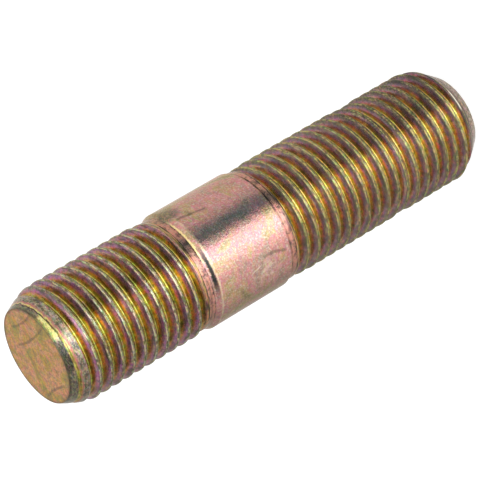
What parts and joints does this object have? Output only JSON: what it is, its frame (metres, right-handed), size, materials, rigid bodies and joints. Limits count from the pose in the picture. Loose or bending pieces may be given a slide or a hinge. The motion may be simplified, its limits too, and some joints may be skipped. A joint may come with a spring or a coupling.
{
  "type": "double ended stud",
  "caption": "Steel stud with a plain shank between a short and a long fine-threaded end, for screwing into a body and clamping a part with a nut.",
  "frame": {"origin": "centre of the long end's flat face, which the stud stands on", "axes": "+Z along the stud's axis, from the long end to the face of the short end; X and Y are free, since the stud is round"},
  "size_m": [0.014, 0.014, 0.0593],
  "materials": {
    "yellow_zinc_steel": "zinc plated and yellow chromated, iridescent gold, pink and olive, satin"
  },
  "bodies": {
    "root": {"stud": "yellow_zinc_steel"}
  },
  "joints": []
}
